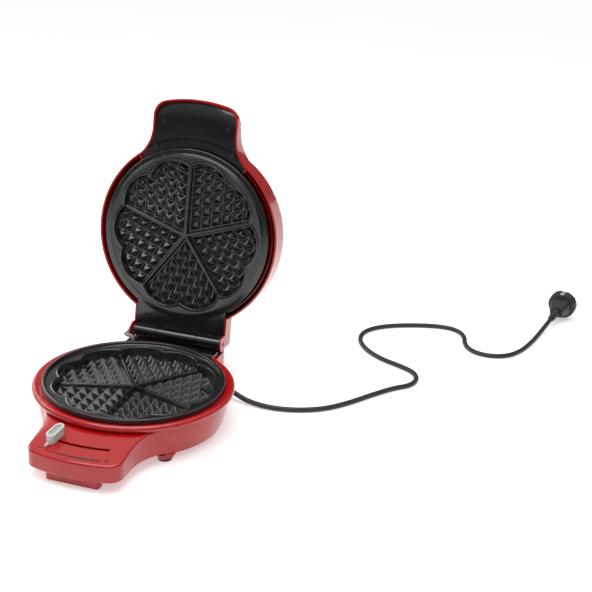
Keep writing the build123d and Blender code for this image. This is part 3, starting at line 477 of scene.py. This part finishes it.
# ---------------------------------------------------------------- housings, liners and small parts
EDGES = {
    "base_housing": 0.0005, "bottom_cover": 0.0005, "lid_shell": 0.0005, "base_hinge_block": 0.0012,
    "lid_hinge_liner": 0.0012, "lid_handle_liner": 0.0003, "slider_knob": 0.0006, "knob_insert": 0.0002,
    "front_foot_pad": 0.0004, "rubber_feet": 0.0005, "plug_body": 0.0007,
}
for node, width in EDGES.items():
    softened(node, width)


def along(path, point_of, count):
    """Rings of points round a polyline; point_of(distance, angle) gives a radius."""
    path = [Vector(p) for p in path]
    side = None
    distance = 0.0
    points = []
    for i, at in enumerate(path):
        ahead = (path[min(i + 1, len(path) - 1)] - path[max(i - 1, 0)]).normalized()
        if side is None:
            side = ahead.orthogonal().normalized()
        side = (side - ahead * side.dot(ahead)).normalized()
        other = ahead.cross(side)
        if i:
            distance += (at - path[i - 1]).length
        for j in range(count):
            angle = tau * j / count
            radius = point_of(distance, angle)
            points.append(at + (side * cos(angle) + other * sin(angle)) * radius)
    return points


def spline_line(points, step):
    """Points read from a NURBS spline with the given control points."""
    curve = nurbs_curve("line", points)
    holder = bpy.data.objects.new("line", curve)
    mesh = bpy.data.meshes.new_from_object(holder)
    found = [v.co.copy() for v in mesh.vertices]
    bpy.data.objects.remove(holder)
    bpy.data.meshes.remove(mesh)
    bpy.data.curves.remove(curve)
    line = [found[0]]
    for p in found[1:]:
        if (p - line[-1]).length >= step:
            line.append(p)
    line[-1] = found[-1]
    return line


def nurbs_curve(name, points):
    curve = bpy.data.curves.new(name, "CURVE")
    curve.dimensions = "3D"
    curve.resolution_u = 12
    spline = curve.splines.new("NURBS")
    spline.points.add(len(points) - 1)
    for target, p in zip(spline.points, points):
        target.co = (*p, 1)
    spline.order_u = 3
    spline.use_endpoint_u = True
    return curve


def lid_point(x, y, z):
    """A point given in the closed lid, in mm from the plate's centre and the table, where it stands open."""
    return open_turn @ Vector((x * MM, CENTRE.y + y * MM, z * MM))


# ---------------------------------------------------------------- woven sleeve beside the hinge
def woven_sleeve():
    """Sleeve up out of the deck, past the hinge pin and into the lid's left wall. Points in mm."""
    base = [Vector((x * MM, CENTRE.y + y * MM, z * MM))
            for x, y, z in ((-49, 104, 39), (-49, 104, 45), (-49.6, 104.2, 50.0), (-60.5, 107.5, 49.6),
                            (-61.5, 115, 48.2), (-61.5, 122, 47.2))]
    lid = [lid_point(-61.5, 119.5, 59.5), lid_point(-61.2, 122, 64), lid_point(-53, 122, 64)]
    line = spline_line(base + lid, 0.0003)
    around = 48
    turns = 2200.0

    def radius(distance, angle):
        over = sin(8 * angle + turns * distance) * sin(8 * angle - turns * distance)
        return SLEEVE_R + SLEEVE_YARN * over

    points = along(line, radius, around)
    piece = make_piece("braided_sleeve", points, ring_faces(len(line), around), None, "lead_sleeve")
    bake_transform(piece)


woven_sleeve()


# ---------------------------------------------------------------- strain relief, lead and plug
def ribbed_relief():
    """Tapered rubber sleeve with a collar and ring ribs."""
    profile = [(-0.008, 0.0031), (-0.008, 0.0060), (-0.0078, 0.0062), (-0.0062, 0.0062), (-0.006, 0.0058),
               (-0.006, 0.0044), (0.0034, 0.0044), (0.0034, 0.0055), (0.0037, 0.0058), (0.0054, 0.0058),
               (0.0058, 0.0055)]
    ribs = 6
    one_rib = ((0.02, 0.0007), (0.12, 0.0001), (0.22, 0.0), (0.62, 0.0), (0.74, 0.0001), (0.84, 0.0007))
    start = 0.0062
    length = RELIEF_LENGTH - start - 0.0006
    for i in range(ribs):
        for share, drop in one_rib:
            t = (i + share) / ribs
            profile.append((start + length * t, 0.0051 - 0.0011 * t - drop))
    profile += [(RELIEF_LENGTH - 0.0004, 0.0040), (RELIEF_LENGTH, 0.0038), (RELIEF_LENGTH, 0.0031),
                (RELIEF_LENGTH - 0.006, 0.0031)]
    around = 40
    side = RELIEF_DIR.orthogonal().normalized()
    other = RELIEF_DIR.cross(side)
    points = []
    for distance, radius in profile:
        for j in range(around):
            angle = tau * j / around
            out = side * cos(angle) + other * sin(angle)
            points.append(RELIEF_ROOT + RELIEF_DIR * distance + out * radius)
    faces = ring_faces(len(profile), around)
    return make_piece("ribbed_strain_relief", points, faces, "base", "strain_relief")


def plug_axis():
    """Direction in which the plug points."""
    flat = cos(PLUG_TILT)
    return Vector((flat * cos(PLUG_HEADING), flat * sin(PLUG_HEADING), sin(PLUG_TILT)))


def mains_lead():
    """The lead from the strain relief to the plug's back, lying on the table."""
    start = RELIEF_ROOT + RELIEF_DIR * RELIEF_LENGTH
    tail = PLUG_FACE - plug_axis() * PLUG_TAIL
    route = [start, start + RELIEF_DIR * CORD_LEAVES]
    route += [Vector((x * MM, CENTRE.y + y * MM, z * MM)) for x, y, z in CORD_POINTS]
    route += [tail - plug_axis() * PLUG_RUN_IN, tail]
    curve = nurbs_curve("mains_lead", route)
    curve.bevel_depth = CORD_D / 2
    curve.bevel_resolution = 8
    curve.use_fill_caps = True
    curve.materials.append(LEAD)
    lead = bpy.data.objects.new("mains_lead", curve)
    bpy.context.scene.collection.objects.link(lead)
    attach(lead, "base")
    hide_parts("mains_cord")


ribbed_relief()
mains_lead()


# ---------------------------------------------------------------- stage, light and camera
def stage_floor():
    mesh = bpy.data.meshes.new("stage_floor")
    half = 14.0
    corners = [(-half, -half, 0), (half, -half, 0), (half, half, 0), (-half, half, 0)]
    mesh.from_pydata(corners, [], [(0, 1, 2, 3)])
    mat, tree, bsdf = shader("stage_white", 0.6)
    mottle = spread(tree, noise(tree, 3, 2), 0, 1)
    pale = blend_colours(tree, mottle, (0.86, 0.86, 0.86), (0.88, 0.88, 0.88))
    tree.links.new(pale, bsdf.inputs["Base Color"])
    bsdf.inputs["Emission Color"].default_value = (1, 1, 1, 1)
    bsdf.inputs["Emission Strength"].default_value = 0.42
    mesh.materials.append(mat)
    floor = bpy.data.objects.new("stage_floor", mesh)
    bpy.context.scene.collection.objects.link(floor)


def soft_light(name, at, towards, width, height, power):
    data = bpy.data.lights.new(name, "AREA")
    data.shape = "RECTANGLE"
    data.size, data.size_y = width, height
    data.energy = power
    lamp = bpy.data.objects.new(name, data)
    bpy.context.scene.collection.objects.link(lamp)
    lamp.location = at
    lamp.rotation_mode = "QUATERNION"
    lamp.rotation_quaternion = (Vector(towards) - Vector(at)).to_track_quat("-Z", "Y")


def surroundings():
    """Studio: bright overhead, dark towards the horizon."""
    world = bpy.data.worlds.new("studio")
    bpy.context.scene.world = world
    world.use_nodes = True
    tree = world.node_tree
    back = tree.nodes["Background"]
    coords = tree.nodes.new("ShaderNodeTexCoord")
    split = tree.nodes.new("ShaderNodeSeparateXYZ")
    ramp = tree.nodes.new("ShaderNodeValToRGB")
    tree.links.new(coords.outputs["Generated"], split.inputs[0])
    tree.links.new(split.outputs["Z"], ramp.inputs[0])
    tree.links.new(ramp.outputs[0], back.inputs["Color"])
    ramp.color_ramp.elements[0].position = 0.30
    ramp.color_ramp.elements[0].color = (0.11, 0.11, 0.115, 1)
    ramp.color_ramp.elements[1].position = 0.85
    ramp.color_ramp.elements[1].color = (0.95, 0.95, 0.95, 1)
    back.inputs["Strength"].default_value = 1.0


def camera():
    """Front right of the handle, looking down at the open iron."""
    at = Vector((0.45876, CENTRE.y - 1.02675, CENTRE.z + 0.54132))
    yaw, pitch, roll = radians(15.428), radians(21.373), 0.063
    ahead = Vector((-sin(yaw) * cos(pitch), cos(yaw) * cos(pitch), -sin(pitch)))
    right = ahead.cross(Vector((0, 0, 1))).normalized()
    up = right.cross(ahead)
    tilted_right = right * cos(roll) + up * sin(roll)
    tilted_up = up * cos(roll) - right * sin(roll)
    data = bpy.data.cameras.new("camera")
    data.sensor_width = 36
    data.lens = 69.16
    data.clip_start, data.clip_end = 0.05, 100
    made = bpy.data.objects.new("camera", data)
    bpy.context.scene.collection.objects.link(made)
    columns = Matrix((tilted_right, tilted_up, -ahead)).transposed()
    made.matrix_world = Matrix.Translation(at) @ columns.to_4x4()
    bpy.context.scene.camera = made


stage_floor()
surroundings()
soft_light("overhead", (0.0, -0.15, 1.5), (0, 0, 0.1), 1.3, 0.9, 13)
soft_light("left_back_panel", (-1.50, 1.05, 0.85), (0, 0, 0.1), 1.0, 0.92, 6)
soft_light("left_panel", (-1.3, 0.1, 0.75), (0, 0, 0.1), 0.5, 0.7, 3.5)
soft_light("front_strip", (0.1, -1.2, 1.4), (0, 0, 0.2), 0.9, 0.14, 1.5)
camera()
bpy.context.scene.view_settings.view_transform = "Standard"
